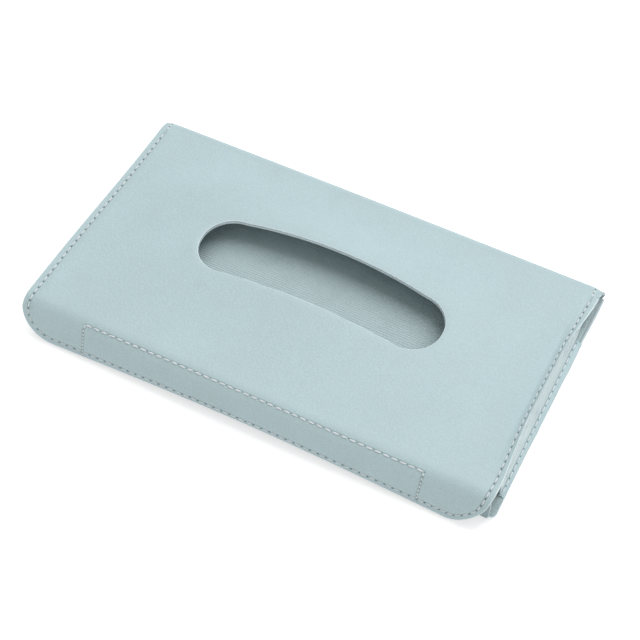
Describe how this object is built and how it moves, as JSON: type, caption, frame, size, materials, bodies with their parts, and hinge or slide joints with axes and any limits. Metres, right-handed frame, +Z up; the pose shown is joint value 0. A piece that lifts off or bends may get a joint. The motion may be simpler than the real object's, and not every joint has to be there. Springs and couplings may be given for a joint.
{
  "type": "car tissue holder",
  "caption": "Flat leather tissue holder with a folding front flap, an oval pull slot, a magnet closure, side wings and visor bands.",
  "frame": {"origin": "under the middle of the closed holder, on the surface that it lies on", "axes": "+X along the long side, +Y towards the top fold, +Z up out of the front flap; the magnet end faces -Y"},
  "size_m": [0.24, 0.1394, 0.021],
  "materials": {
    "leather": "pale grey-blue smooth grain leather, semi-matt",
    "lining": "grey fine-ribbed woven lining",
    "wing_cloth": "very pale woven cloth",
    "stiff_board": "stiffener sheet, hidden",
    "magnet": "plated magnet disc, hidden",
    "thread": "pale blue sewing thread",
    "elastic_band": "woven elastic webbing"
  },
  "bodies": {
    "back": {"left_visor_band": "elastic_band", "right_visor_band": "elastic_band", "back_skin": "leather", "back_board": "stiff_board", "back_lining": "lining", "fold_spine": "leather", "bottom_crease": "leather", "left_side_strip": "leather", "right_side_strip": "leather", "left_strip_thread": "thread", "right_strip_thread": "thread"},
    "front_flap": {"flap_skin": "leather", "flap_board": "stiff_board", "flap_lining": "lining", "flap_thread": "thread", "pocket_thread": "thread", "magnet_board": "stiff_board", "flap_magnet_1": "magnet", "flap_magnet_2": "magnet", "flap_magnet_3": "magnet", "flap_magnet_4": "magnet"},
    "bottom_wall": {"wall_skin": "leather", "wall_board": "stiff_board", "wall_lining": "lining", "wall_thread": "thread", "wall_magnet_1": "magnet", "wall_magnet_2": "magnet", "wall_magnet_3": "magnet", "wall_magnet_4": "magnet"},
    "left_side_wing": {"left_wing": "wing_cloth"},
    "right_side_wing": {"right_wing": "wing_cloth"}
  },
  "joints": [
    {"name": "flap_fold", "type": "hinge", "parent": "back", "child": "front_flap", "pos_m": [0, 0.06698, 0.00385], "axis": [-1, 0, 0], "range_deg": [0, 165]},
    {"name": "wall_fold", "type": "hinge", "parent": "back", "child": "bottom_wall", "pos_m": [0, -0.06082, 0.0022], "axis": [1, 0, 0], "range_deg": [0, 93]},
    {"name": "left_wing_fold", "type": "hinge", "parent": "back", "child": "left_side_wing", "pos_m": [-0.11755, 0, 0.0053], "axis": [0, -1, 0], "range_deg": [-78, 98]},
    {"name": "right_wing_fold", "type": "hinge", "parent": "back", "child": "right_side_wing", "pos_m": [0.11755, 0, 0.0053], "axis": [0, 1, 0], "range_deg": [-78, 98]}
  ],
  "couplings": [
    {"joint": "wall_fold", "follows": "flap_fold", "ratio": 0.56}
  ]
}
